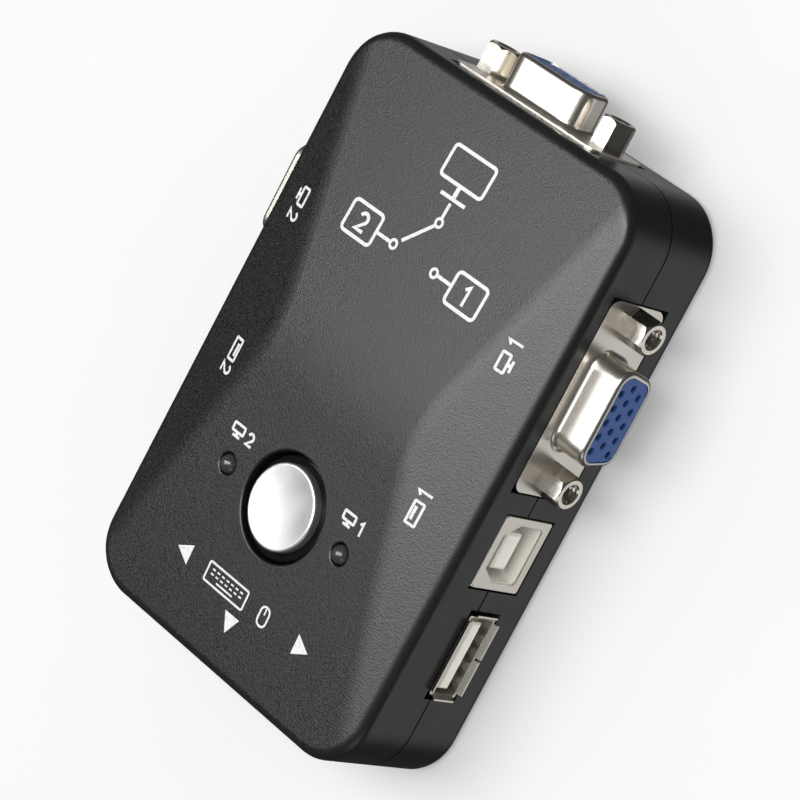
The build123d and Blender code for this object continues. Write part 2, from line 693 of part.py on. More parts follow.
def vga_bracket():
    """Stamped plate behind the plastic flange, with two feet that are soldered to the board."""
    plate_front = -FLANGE_THICKNESS - VGA_PLASTIC_FLANGE
    foot_top = -FLANGE_HEIGHT / 2 + VGA_BRACKET_FOOT_RISE
    margin = 2 * VGA_BRACKET_MARGIN
    window_gap = 2 * VGA_BRACKET_WINDOW_GAP
    with BuildPart() as bracket:
        with BuildSketch(Plane.XY.offset(plate_front)):
            Rectangle(FLANGE_WIDTH - margin, FLANGE_HEIGHT - margin)
            Rectangle(VGA_REAR_WIDTH + window_gap, VGA_REAR_HEIGHT + window_gap, mode=Mode.SUBTRACT)
            flange_holes(JACK_TAIL_HOLE_RADIUS)
        extrude(amount=-VGA_BRACKET_THICKNESS)
        for side in (-1, 1):
            foot_depth = VGA_LEG_DEPTH + VGA_BRACKET_THICKNESS / 2 + plate_front
            with BuildSketch(Plane.XY.offset(plate_front)) as foot:
                with Locations((side * VGA_LEG_ACROSS, foot_top - VGA_BRACKET_THICKNESS / 2)):
                    Rectangle(VGA_BRACKET_FOOT_WIDTH, VGA_BRACKET_THICKNESS)
            extrude(foot.sketch, amount=-foot_depth)
            drop = VGA_Z - PIN_END_Z + foot_top
            with BuildSketch(Plane.XY.offset(-VGA_LEG_DEPTH + VGA_BRACKET_THICKNESS / 2)) as leg:
                with Locations((side * VGA_LEG_ACROSS, foot_top - drop / 2)):
                    Rectangle(LEG_WIDTH, drop)
            extrude(leg.sketch, amount=-VGA_BRACKET_THICKNESS)
    return bracket


def bent_pin(across, height, front, depth, drop_to):
    """A square pin that runs back from a socket and turns down to the board, inside a BuildPart."""
    with BuildSketch(Plane.XY.offset(front)) as run:
        with Locations((across, height)):
            Rectangle(PIN_WIDTH, PIN_WIDTH)
    extrude(run.sketch, amount=-(front + depth) - PIN_WIDTH / 2)
    drop = height + PIN_WIDTH / 2 - drop_to
    with BuildSketch(Plane.XY.offset(-depth + PIN_WIDTH / 2)) as tail:
        with Locations((across, drop_to + drop / 2)):
            Rectangle(PIN_WIDTH, drop)
    extrude(tail.sketch, amount=-PIN_WIDTH)


def vga_contacts():
    with BuildPart() as contacts:
        for across, height, depth in VGA_CONTACTS:
            bent_pin(across, height, VGA_CONTACT_FRONT, depth, PIN_END_Z - VGA_Z)
    return contacts


def vga_jackscrews():
    """Hexagonal female screwlocks, their front turned to a cone, with a threaded tail."""
    cone_height = JACK_LENGTH + JACK_ACROSS_FLATS / 2 - JACK_FRONT_STEP
    with BuildPart() as cone:
        Cone(cone_height, 0, cone_height, align=ON_BASE)
    with BuildPart() as screw:
        with BuildSketch():
            RegularPolygon(JACK_ACROSS_FLATS / 2 / cos(pi / 6), 6)
        extrude(amount=JACK_LENGTH)
        add(cone.part, mode=Mode.INTERSECT)
        with BuildSketch(Plane.XY.offset(JACK_LENGTH)):
            Circle(JACK_THREAD_RADIUS)
        extrude(amount=-JACK_THREAD_DEPTH, mode=Mode.SUBTRACT)
        mouth = [
            edge
            for edge in screw.edges().filter_by(GeomType.CIRCLE)
            if (edge @ 0.5).Z > JACK_LENGTH - 0.01 and abs(edge.radius - JACK_THREAD_RADIUS) < 0.01
        ]
        chamfer(mouth, JACK_MOUTH_CHAMFER)
        with BuildSketch():
            Circle(JACK_TAIL_RADIUS)
        extrude(amount=-JACK_TAIL_LENGTH)
    with BuildPart() as pair:
        with GridLocations(SCREW_SPACING, 1, 2, 1):
            add(screw.part)
    return pair


def vga_nuts():
    plate_back = -FLANGE_THICKNESS - VGA_PLASTIC_FLANGE - VGA_BRACKET_THICKNESS
    with BuildPart() as nuts:
        with BuildSketch(Plane.XY.offset(plate_back)):
            with GridLocations(SCREW_SPACING, 1, 2, 1):
                RegularPolygon(JACK_NUT_ACROSS_FLATS / 2 / cos(pi / 6), 6, rotation=30)
                Circle(JACK_TAIL_RADIUS + CLEARANCE, mode=Mode.SUBTRACT)
        extrude(amount=-JACK_NUT_THICKNESS)
    return nuts


def make_vga_sockets():
    templates = {
        "shell": vga_shell(),
        "insulator": vga_insulator(),
        "bracket": vga_bracket(),
        "contacts": vga_contacts(),
        "jackscrews": vga_jackscrews(),
    }
    for port_name, socket in VGA_PORTS.items():
        for piece_name, template in templates.items():
            place_on(template, socket, f"{port_name}_{piece_name}")
    nuts = vga_nuts()
    with BuildPart() as all_nuts:
        for socket in VGA_PORTS.values():
            with Locations(socket.location):
                add(nuts.part)
    save(all_nuts, "vga_jackscrew_nuts")


# ---------------------------------------------------------------- USB-B sockets


def usb_b_mouth(inset):
    """The mouth's outline, its upper corners cut off, moved inwards by the inset."""
    half = USB_B_MOUTH_WIDTH / 2 - inset
    height = USB_B_MOUTH_HEIGHT / 2 - inset
    outline = Polygon(
        (-half, -height),
        (half, -height),
        (half, height - USB_B_CHAMFER_DOWN),
        (half - USB_B_CHAMFER_ACROSS, height),
        (-half + USB_B_CHAMFER_ACROSS, height),
        (-half, height - USB_B_CHAMFER_DOWN),
        align=None,
    )
    fillet(outline.vertices().group_by(Axis.Y)[0], 0.9)
    fillet(outline.vertices().group_by(Axis.Y)[-1], 0.5)


def usb_b_shell():
    leg_drop = USB_B_Z - USB_B_HEIGHT / 2 - PIN_END_Z
    with BuildPart() as shell:
        with BuildSketch(Plane.XY.offset(-USB_B_DEPTH)):
            Rectangle(USB_B_WIDTH, USB_B_HEIGHT)
        extrude(amount=USB_B_DEPTH)
        fillet(shell.edges().filter_by(Axis.Z), USB_B_CORNER_RADIUS)
        chamfer(shell.faces().sort_by(Axis.Z)[-1].edges(), USB_B_FACE_CHAMFER)
        with BuildSketch(Plane.XY.offset(-USB_B_METAL)):
            Rectangle(USB_B_WIDTH - 2 * USB_B_METAL, USB_B_HEIGHT - 2 * USB_B_METAL)
        extrude(amount=-USB_B_DEPTH, mode=Mode.SUBTRACT)
        with BuildSketch(Plane.XY.offset(1)):
            usb_b_mouth(0)
        extrude(amount=-2, mode=Mode.SUBTRACT)
        # Slits where the metal is folded at the face's upper corners
        slit_y = USB_B_HEIGHT / 2 - USB_B_FOLD_DROP
        with BuildSketch(Plane.XY.offset(-0.5)):
            with Locations((-USB_B_WIDTH / 2, slit_y), (USB_B_WIDTH / 2, slit_y)):
                Rectangle(*USB_B_FOLD_SLIT)
        extrude(amount=1, mode=Mode.SUBTRACT)
        for side in (-1, 1):
            across = side * (USB_B_WIDTH / 2 - USB_B_METAL / 2)
            with BuildSketch(Plane.XY.offset(-USB_B_LEG_DEPTH + LEG_WIDTH / 2)) as leg:
                with Locations((across, -USB_B_HEIGHT / 2 - leg_drop / 2 + 0.1)):
                    Rectangle(USB_B_METAL, leg_drop + 0.2)
            extrude(leg.sketch, amount=-LEG_WIDTH)
    return shell


def usb_b_insulator():
    width = USB_B_WIDTH - 2 * USB_B_METAL - 2 * CLEARANCE
    height = USB_B_HEIGHT - 2 * USB_B_METAL - 2 * CLEARANCE
    with BuildPart() as insulator:
        with BuildSketch(Plane.XY.offset(-USB_B_METAL - CLEARANCE)):
            Rectangle(width, height)
        extrude(amount=-USB_B_DEPTH + USB_B_METAL)
        with BuildSketch(Plane.XY):
            usb_b_mouth(USB_B_LINING_INSET)
        extrude(amount=-USB_B_CAVITY_DEPTH, mode=Mode.SUBTRACT)
        with BuildSketch(Plane.XY.offset(-USB_B_CAVITY_DEPTH)):
            Rectangle(USB_B_TONGUE_WIDTH, USB_B_TONGUE_HEIGHT)
        extrude(amount=USB_B_CAVITY_DEPTH - USB_B_TONGUE_RECESS)
        tip = insulator.faces().filter_by(Axis.Z).sort_by_distance((0, 0, -USB_B_TONGUE_RECESS))[0]
        chamfer(tip.edges(), USB_B_TONGUE_CHAMFER)
        # Slots for the four contacts, above and below the tongue
        with BuildSketch(Plane.XY.offset(-USB_B_TONGUE_RECESS - 1.2)):
            with GridLocations(2.5, USB_B_TONGUE_HEIGHT - 0.3, 2, 2):
                Rectangle(1.0, 0.5)
        extrude(amount=-USB_B_DEPTH, mode=Mode.SUBTRACT)
    return insulator


def strip_contact(across, height, front, depth, width, drop_to):
    """A flat strip that runs back from a socket and turns down to the board, inside a BuildPart."""
    with BuildSketch(Plane.XY.offset(-front)) as run:
        with Locations((across, height)):
            Rectangle(width, CONTACT_THICKNESS)
    extrude(run.sketch, amount=front - depth - CONTACT_THICKNESS / 2)
    drop = height + CONTACT_THICKNESS / 2 - drop_to
    with BuildSketch(Plane.XY.offset(-depth + CONTACT_THICKNESS / 2)) as tail:
        with Locations((across, drop_to + drop / 2)):
            Rectangle(CONTACT_TAIL_WIDTH, drop)
    extrude(tail.sketch, amount=-CONTACT_THICKNESS)


def usb_b_contacts():
    with BuildPart() as contacts:
        for across, depth in USB_B_PINS:
            upper = depth > 18
            side = 1 if upper else -1
            height = side * (USB_B_TONGUE_HEIGHT / 2 - USB_B_CONTACT_DEPTH)
            front = USB_B_TONGUE_RECESS + USB_B_CONTACT_SETBACK
            strip_contact(across, height, front, depth, CONTACT_WIDTH, PIN_END_Z - USB_B_Z)
    return contacts


def make_usb_b_sockets():
    templates = {
        "shell": usb_b_shell(),
        "insulator": usb_b_insulator(),
        "contacts": usb_b_contacts(),
    }
    for port_name, socket in USB_B_PORTS.items():
        for piece_name, template in templates.items():
            place_on(template, socket, f"{port_name}_{piece_name}")


# ---------------------------------------------------------------- USB-A sockets


def usb_a_shell():
    outer_width = USB_A_MOUTH_WIDTH + 2 * USB_A_METAL
    outer_height = USB_A_MOUTH_HEIGHT + 2 * USB_A_METAL
    leg_drop = USB_A_Z - outer_height / 2 - PIN_END_Z
    with BuildPart() as shell:
        with BuildSketch(Plane.XY):
            RectangleRounded(outer_width, outer_height, 0.5)
        extrude(amount=-USB_A_DEPTH)
        with BuildSketch(Plane.XY):
            Rectangle(outer_width, outer_height)
        extrude(amount=USB_A_LIP_DEPTH, taper=-USB_A_LIP_ANGLE)
        with BuildSketch(Plane.XY):
            Rectangle(USB_A_MOUTH_WIDTH, USB_A_MOUTH_HEIGHT)
        extrude(amount=USB_A_LIP_DEPTH, taper=-USB_A_LIP_ANGLE, mode=Mode.SUBTRACT)
        with BuildSketch(Plane.XY):
            RectangleRounded(USB_A_MOUTH_WIDTH, USB_A_MOUTH_HEIGHT, 0.25)
        extrude(amount=-USB_A_DEPTH, mode=Mode.SUBTRACT)
        # The lips are four separate flaps, and the lower one is slit
        with BuildSketch(Plane.XY.offset(0.05)):
            with GridLocations(USB_A_MOUTH_WIDTH + 0.6, USB_A_MOUTH_HEIGHT + 0.6, 2, 2):
                Rectangle(1.3, 1.3)
            with Locations((0, -USB_A_MOUTH_HEIGHT / 2 - 0.5)):
                Rectangle(0.35, 1.4)
        extrude(amount=2, mode=Mode.SUBTRACT)
        for side in (-1, 1):
            across = side * (USB_A_MOUTH_WIDTH / 2 + USB_A_METAL / 2)
            with BuildSketch(Plane.XY.offset(-USB_A_LEG_DEPTH + LEG_WIDTH / 2)) as leg:
                with Locations((across, -outer_height / 2 - leg_drop / 2 + 0.4)):
                    Rectangle(USB_A_METAL, leg_drop + 0.8)
            extrude(leg.sketch, amount=-LEG_WIDTH)
    return shell


def usb_a_insulator():
    """White plastic: the tongue, the wall behind it and the foot that stands on the board."""
    foot_bottom = BOARD_TOP_Z - USB_A_Z
    foot_top = -USB_A_MOUTH_HEIGHT / 2 - USB_A_METAL - CLEARANCE
    back = USB_A_DEPTH + CLEARANCE
    with BuildPart() as insulator:
        with BuildSketch(Plane.XY.offset(-USB_A_TONGUE_RECESS)):
            with Locations((0, USB_A_TONGUE_Y)):
                Rectangle(USB_A_TONGUE_WIDTH, USB_A_TONGUE_HEIGHT)
        extrude(amount=-USB_A_DEPTH + 1)
        chamfer(insulator.faces().sort_by(Axis.Z)[-1].edges(), USB_A_TONGUE_CHAMFER)
        with BuildSketch(Plane.XY.offset(-USB_A_CAVITY_DEPTH)):
            RectangleRounded(USB_A_MOUTH_WIDTH - 2 * CLEARANCE, USB_A_MOUTH_HEIGHT - 2 * CLEARANCE, 0.3)
        extrude(amount=-(back - USB_A_CAVITY_DEPTH) - USB_A_BACK_WALL)
        with BuildSketch(Plane.XY.offset(-back)):
            with Locations((0, (foot_bottom + USB_A_MOUTH_HEIGHT / 2) / 2)):
                Rectangle(USB_A_MOUTH_WIDTH, USB_A_MOUTH_HEIGHT / 2 - foot_bottom)
        extrude(amount=-USB_A_BACK_WALL)
        with BuildSketch(Plane.XY.offset(-USB_A_FOOT_FRONT)):
            with Locations((0, (foot_bottom + foot_top) / 2)):
                Rectangle(USB_A_MOUTH_WIDTH - 0.4, foot_top - foot_bottom)
        extrude(amount=-(back - USB_A_FOOT_FRONT) - USB_A_BACK_WALL)
        # Grooves under the tongue, one for each contact
        tongue_underside = USB_A_TONGUE_Y - USB_A_TONGUE_HEIGHT / 2
        with BuildSketch(Plane.XY.offset(-USB_A_TONGUE_RECESS - USB_A_GROOVE_SETBACK)):
            with Locations(*[(across, tongue_underside) for across in USB_A_PIN_ACROSS]):
                Rectangle(*USB_A_GROOVE)
        extrude(amount=-USB_A_DEPTH - 4, mode=Mode.SUBTRACT)
    return insulator


def usb_a_contacts():
    height = USB_A_TONGUE_Y - USB_A_TONGUE_HEIGHT / 2 + CONTACT_THICKNESS
    front = USB_A_TONGUE_RECESS + USB_A_CONTACT_SETBACK
    low = PIN_END_Z - USB_A_Z
    with BuildPart() as contacts:
        for across in USB_A_PIN_ACROSS:
            strip_contact(across, height, front, USB_A_PIN_DEPTH, USB_A_CONTACT_WIDTH, low)
    return contacts


def make_usb_a_sockets():
    templates = {
        "shell": usb_a_shell(),
        "insulator": usb_a_insulator(),
        "contacts": usb_a_contacts(),
    }
    for port_name, socket in USB_A_PORTS.items():
        for piece_name, template in templates.items():
            place_on(template, socket, f"{port_name}_{piece_name}")


# ---------------------------------------------------------------- button and switch


def make_button_cap():
    """Satin cap with a shallow dish inside a narrow rim, and a peg that presses into the stem."""
    peg_z = CAP_DECK_Z - CAP_PEG_LENGTH
    deck_z = CAP_DECK_Z + CLEARANCE
    dish = (0, CAP_RIM_Z - CAP_DISH_DEPTH)
    dish_edge = (CAP_RADIUS - CAP_RIM_WIDTH, CAP_RIM_Z)
    with BuildPart() as cap:
        with BuildSketch(Plane.XZ.offset(-BUTTON_Y)):
            with BuildLine():
                Polyline(
                    dish,
                    (0, peg_z),
                    (CAP_PEG_RADIUS, peg_z),
                    (CAP_PEG_RADIUS, deck_z),
                    (CAP_RADIUS, deck_z),
                    (CAP_RADIUS, CAP_RIM_Z),
                    dish_edge,
                )
                TangentArc(dish, dish_edge, tangent=(1, 0))
            make_face()
        revolve(axis=Axis((0, BUTTON_Y, 0), (0, 0, 1)))
        rim = [
            edge
            for edge in cap.edges().filter_by(GeomType.CIRCLE)
            if abs((edge @ 0.5).Z - CAP_RIM_Z) < 0.01 and edge.radius > CAP_RADIUS - 0.01
        ]
        fillet(rim, CAP_EDGE_RADIUS)
    save(cap, "button_cap")


def disc(radius, bottom_z, height, mode=Mode.ADD, hole=0.0):
    """A disc or ring on the button's axis, inside a BuildPart."""
    with BuildSketch(Plane.XY.offset(bottom_z)) as outline:
        with Locations((0, BUTTON_Y)):
            Circle(radius)
            if hole:
                Circle(hole, mode=Mode.SUBTRACT)
    extrude(outline.sketch, amount=height, mode=mode)


def square(width, bottom_z, height, mode=Mode.ADD):
    """A square bar on the button's axis, inside a BuildPart."""
    with BuildSketch(Plane.XY.offset(bottom_z)) as outline:
        with Locations((0, BUTTON_Y)):
            Rectangle(width, width)
    extrude(outline.sketch, amount=height, mode=mode)


def make_button_stem():
    """Black top-hat that slides in the collar, held by its flange and pressed on the plunger."""
    barrel = BUTTON_HOLE_RADIUS - BUTTON_CLEARANCE
    flange_top = COLLAR_BOTTOM_Z - STEM_FLANGE_GAP
    flange_bottom = flange_top - STEM_FLANGE_THICKNESS
    hollow_top = CAP_DECK_Z - STEM_ROOF
    socket_bottom = CAP_DECK_Z - CAP_PEG_LENGTH - 2 * CLEARANCE
    with BuildPart() as stem:
        disc(BUTTON_HOLE_RADIUS + STEM_FLANGE_WIDTH, flange_bottom, STEM_FLANGE_THICKNESS)
        disc(barrel, flange_top, CAP_DECK_Z - flange_top)
        fillet(stem.edges().group_by(Axis.Z)[-1], STEM_EDGE_RADIUS)
        hollow_height = hollow_top - flange_bottom + 1
        disc(barrel - STEM_WALL, flange_bottom - 1, hollow_height, Mode.SUBTRACT, STEM_POST_RADIUS)
        disc(STEM_POST_RADIUS, STEM_BOTTOM_Z, flange_top - STEM_BOTTOM_Z)
        plunger_socket = PLUNGER_TOP_Z - STEM_BOTTOM_Z
        square(PLUNGER_WIDTH + 2 * CLEARANCE, STEM_BOTTOM_Z, plunger_socket, Mode.SUBTRACT)
        disc(CAP_PEG_RADIUS + CLEARANCE, socket_bottom, CAP_DECK_Z, Mode.SUBTRACT)
    save(stem, "button_stem")


def make_switch():
    """Push switch on the board: housing, plunger, return spring and solder pins."""
    top_z = BOARD_TOP_Z + SWITCH_HEIGHT
    roof_z = top_z - SWITCH_ROOF
    with BuildPart() as housing:
        size = (SWITCH_WIDTH, SWITCH_WIDTH, SWITCH_HEIGHT)
        block(0, BUTTON_Y, BOARD_TOP_Z, size, SWITCH_CORNER_RADIUS)
        disc(SWITCH_BORE_RADIUS, SPRING_BOTTOM_Z, roof_z - SPRING_BOTTOM_Z, Mode.SUBTRACT)
        square(PLUNGER_WIDTH + 2 * PLUNGER_GAP, SPRING_BOTTOM_Z, top_z, Mode.SUBTRACT)
    save(housing, "switch_housing")

    with BuildPart() as plunger:
        disc(SWITCH_BORE_RADIUS - PLUNGER_GAP, SPRING_TOP_Z, roof_z - PLUNGER_GAP - SPRING_TOP_Z)
        square(PLUNGER_WIDTH, SPRING_TOP_Z, PLUNGER_TOP_Z - SPRING_TOP_Z)
    save(plunger, "switch_plunger")

    coil_height = SPRING_TOP_Z - SPRING_BOTTOM_Z - 2.2 * SPRING_WIRE_RADIUS
    with BuildPart() as spring:
        with BuildLine(Plane((0, BUTTON_Y, SPRING_BOTTOM_Z + SPRING_WIRE_RADIUS))):
            coil = Helix(coil_height / SPRING_TURNS, coil_height, SPRING_RADIUS)
        with BuildSketch(Plane(origin=coil @ 0, z_dir=coil % 0)):
            Circle(SPRING_WIRE_RADIUS)
        sweep(is_frenet=True)
    save(spring, "switch_spring")

    with BuildPart() as pins:
        for x, y in SWITCH_PINS:
            block(x, y, PIN_END_Z, (PIN_WIDTH, PIN_WIDTH, BOARD_TOP_Z - PIN_END_Z))
    save(pins, "switch_pins")


# ---------------------------------------------------------------- lamps


def make_lamps():
    for name, side in (("led_pc1", 1), ("led_pc2", -1)):
        with BuildPart() as lens:
            with BuildSketch(Plane.XY.offset(LED_BASE_Z)):
                with Locations((side * LED_X, LED_Y)):
                    Circle(LED_RADIUS + LED_FLANGE_WIDTH)
            extrude(amount=LED_FLANGE_HEIGHT)
            with BuildSketch(Plane.XY.offset(LED_BASE_Z)):
                with Locations((side * LED_X, LED_Y)):
                    Circle(LED_RADIUS)
            extrude(amount=LED_SHOULDER_Z - LED_BASE_Z)
            with Locations((side * LED_X, LED_Y, LED_SHOULDER_Z)):
                Sphere(LED_RADIUS)
        save(lens, f"{name}_lens")
        with BuildPart() as leads:
            for lead in (-1, 1):
                x = side * LED_X + lead * LED_LEAD_SPACING / 2
                block(x, LED_Y, PIN_END_Z, (PIN_WIDTH, PIN_WIDTH, LED_BASE_Z - PIN_END_Z))
        save(leads, f"{name}_leads")


if __name__ == "__main__":
    os.makedirs("parts", exist_ok=True)
    make_top_cover()
    make_bottom_cover()
    make_case_screws()
    make_circuit_board()
    make_board_parts()
    make_vga_sockets()
    make_usb_b_sockets()
    make_usb_a_sockets()
    make_button_cap()
    make_button_stem()
    make_switch()
    make_lamps()
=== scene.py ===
"""Looks of a two-port KVM switch: materials, printed marks and screw threads around the
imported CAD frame, with a paper sweep, soft lights and a camera.

Everything is in the CAD's own frame: +Z up, the origin under the middle of the case.
The object's own lengths are in millimetres and are multiplied by MM where they are used.
The camera, the stage and the lights are in metres.
"""

import json
import math

import bmesh
import bpy
from mathutils import Matrix, Vector
from mathutils.bvhtree import BVHTree


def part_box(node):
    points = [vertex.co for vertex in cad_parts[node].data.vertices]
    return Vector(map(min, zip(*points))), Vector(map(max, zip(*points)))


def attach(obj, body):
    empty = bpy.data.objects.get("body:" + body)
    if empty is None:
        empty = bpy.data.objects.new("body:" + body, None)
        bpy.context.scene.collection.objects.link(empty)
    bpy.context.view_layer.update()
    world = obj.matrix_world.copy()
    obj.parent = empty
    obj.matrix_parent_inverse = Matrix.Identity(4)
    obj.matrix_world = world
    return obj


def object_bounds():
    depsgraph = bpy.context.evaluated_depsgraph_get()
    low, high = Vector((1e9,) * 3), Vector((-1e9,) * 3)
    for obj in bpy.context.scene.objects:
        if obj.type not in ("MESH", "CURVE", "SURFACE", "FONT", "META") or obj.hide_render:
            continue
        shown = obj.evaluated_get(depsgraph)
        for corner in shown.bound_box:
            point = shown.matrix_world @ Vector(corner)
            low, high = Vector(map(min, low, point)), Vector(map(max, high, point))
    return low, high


MM = 0.001
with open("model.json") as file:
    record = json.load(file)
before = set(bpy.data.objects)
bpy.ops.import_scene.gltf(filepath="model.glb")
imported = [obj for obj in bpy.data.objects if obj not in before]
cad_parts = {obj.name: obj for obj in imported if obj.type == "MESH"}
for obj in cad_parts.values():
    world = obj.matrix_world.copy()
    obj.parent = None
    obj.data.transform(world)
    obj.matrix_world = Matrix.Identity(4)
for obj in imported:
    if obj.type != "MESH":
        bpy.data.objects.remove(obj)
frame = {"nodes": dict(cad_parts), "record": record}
CAD_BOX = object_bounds()
NODES = frame["nodes"]


# ---------------------------------------------------------------- camera

CAMERA_PLACE = Vector((320.64, 111.70, 410.86)) * MM
CAMERA_FORWARD = Vector((-0.61108, -0.21262, -0.76248))
CAMERA_UP = Vector((-0.47934, 0.86596, 0.14268))
CAMERA_LENS_MM = 160.63
SENSOR_MM = 36.0
NEAREST_SEEN = 0.01


def make_camera():
    data = bpy.data.cameras.new("camera")
    data.lens = CAMERA_LENS_MM
    data.sensor_width = SENSOR_MM
    data.clip_start = NEAREST_SEEN
    camera = bpy.data.objects.new("camera", data)
    bpy.context.scene.collection.objects.link(camera)
    back = -CAMERA_FORWARD.normalized()
    right = CAMERA_UP.cross(back).normalized()
    up = back.cross(right)
    turn = Matrix((right, up, back)).transposed()
    camera.matrix_world = Matrix.Translation(CAMERA_PLACE) @ turn.to_4x4()
    bpy.context.scene.camera = camera
    bpy.context.scene.view_settings.view_transform = "Standard"


# ---------------------------------------------------------------- shader helper


class Shader:
    """A node tree of a new material or of a world, with short calls for the shared nodes.

    place and facing are for surfaces, and direction is for the world.
    """

    def __init__(self, owner):
        self.material = bpy.data.materials.new(owner) if isinstance(owner, str) else owner
        self.material.use_nodes = True
        self.nodes = self.material.node_tree.nodes
        self.links = self.material.node_tree.links
        self.bsdf = self.nodes.get("Principled BSDF")
        coordinates = self.nodes.new("ShaderNodeTexCoord")
        self.place = coordinates.outputs["Object"]
        self.facing = coordinates.outputs["Normal"]
        self.direction = coordinates.outputs["Generated"]

    def put(self, socket, value):
        """Set an input, or link it when the value is another node's output."""
        if isinstance(value, bpy.types.NodeSocket):
            self.links.new(value, socket)
        elif isinstance(value, (tuple, list)) and len(value) == 3 and socket.type == "RGBA":
            socket.default_value = (*value, 1.0)
        else:
            socket.default_value = value

    def surface(self, **inputs):
        for name, value in inputs.items():
            self.put(self.bsdf.inputs[name.replace("_", " ")], value)

    def noise(self, scale, detail=2.0, roughness=0.5, place=None):
        node = self.nodes.new("ShaderNodeTexNoise")
        self.put(node.inputs["Vector"], place or self.place)
        node.inputs["Scale"].default_value = scale
        node.inputs["Detail"].default_value = detail
        node.inputs["Roughness"].default_value = roughness
        return node.outputs["Fac"]

    def cells(self, scale):
        """Distance to the nearest of many scattered points."""
        node = self.nodes.new("ShaderNodeTexVoronoi")
        self.put(node.inputs["Vector"], self.place)
        node.inputs["Scale"].default_value = scale
        return node.outputs["Distance"]

    def math(self, operation, first, second=0.0):
        node = self.nodes.new("ShaderNodeMath")
        node.operation = operation
        self.put(node.inputs[0], first)
        self.put(node.inputs[1], second)
        return node.outputs[0]

    def part_of(self, vector, axis):
        """The X, Y or Z of a vector."""
        node = self.nodes.new("ShaderNodeSeparateXYZ")
        self.put(node.inputs[0], vector)
        return node.outputs[axis]

    def span(self, value, low, high, new_low=0.0, new_high=1.0):
        """Map a range of a value to another range, clamped."""
        node = self.nodes.new("ShaderNodeMapRange")
        for socket, number in zip(node.inputs[1:5], (low, high, new_low, new_high)):
            self.put(socket, number)
        self.put(node.inputs[0], value)
        return node.outputs[0]

    def spread(self, noise, low, high):
        """Map the usual range of a noise to another range."""
        return self.span(noise, 0.3, 0.7, low, high)

    def mix(self, factor, first, second):
        """Blend two colours. A Mix node's colour sockets are found by number, as their names repeat."""
        node = self.nodes.new("ShaderNodeMix")
        node.data_type = "RGBA"
        self.put(node.inputs["Factor"], factor)
        self.put(node.inputs[6], first)
        self.put(node.inputs[7], second)
        return node.outputs[2]

    def bump(self, height, distance, strength=1.0, base=None):
        node = self.nodes.new("ShaderNodeBump")
        self.put(node.inputs["Height"], height)
        self.put(node.inputs["Strength"], strength)
        node.inputs["Distance"].default_value = distance
        if base is not None:
            self.put(node.inputs["Normal"], base)
        return node.outputs["Normal"]

    def clear_from_behind(self):
        """Let the eye through the back of each face."""
        side = self.nodes.new("ShaderNodeNewGeometry").outputs["Backfacing"]
        blend = self.nodes.new("ShaderNodeMixShader")
        clear = self.nodes.new("ShaderNodeBsdfTransparent")
        self.put(blend.inputs[0], side)
        self.links.new(self.bsdf.outputs[0], blend.inputs[1])
        self.links.new(clear.outputs[0], blend.inputs[2])
        self.links.new(blend.outputs[0], self.nodes["Material Output"].inputs["Surface"])

    def dot(self, first, second):
        node = self.nodes.new("ShaderNodeVectorMath")
        node.operation = "DOT_PRODUCT"
        self.put(node.inputs[0], first)
        self.put(node.inputs[1], second)
        return node.outputs["Value"]

    def hypotenuse(self, first, second):
        """The length of a right triangle's long side."""
        squares = [self.math("MULTIPLY", side, side) for side in (first, second)]
        return self.math("SQRT", self.math("ADD", *squares))

    def plan_distance(self, half_width, half_length, corner):
        """Distance outside a rounded rectangle about the origin, in plan, plus the corner radius."""
        sides = []
        for axis, half in (("X", half_width), ("Y", half_length)):
            offset = self.math("ABSOLUTE", self.part_of(self.place, axis))
            beyond = self.math("SUBTRACT", offset, half - corner)
            sides.append(self.math("MAXIMUM", beyond, 0.0))
        return self.hypotenuse(*sides)


# ---------------------------------------------------------------- materials


# The sand texture of the top ends in a rounded rectangle, inside the cover's widest outline
SAND_INSET_ACROSS = 1.2
SAND_INSET_ALONG = 1.15
SAND_CORNER = 7.7
SAND_FADE = 0.25
# It fades in between these two upward parts of the surface's normal
SAND_STEEPEST = 0.90
SAND_FLATTEST = 0.972
SAND_HEIGHT = 0.034
GRAIN_SCALE = 3900
PIT_SCALE = 3100


def sand_area(s):
    """1 on the sand texture and 0 on the smooth rims and walls."""
    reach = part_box("top_cover")[1]
    corner, fade = SAND_CORNER * MM, SAND_FADE * MM
    plan = s.plan_distance(reach.x - SAND_INSET_ACROSS * MM, reach.y - SAND_INSET_ALONG * MM, corner)
    within = s.span(plan, corner - fade, corner + fade, 1.0, 0.0)
    upward = s.span(s.part_of(s.facing, "Z"), SAND_STEEPEST, SAND_FLATTEST)
    return s.math("MULTIPLY", upward, within)


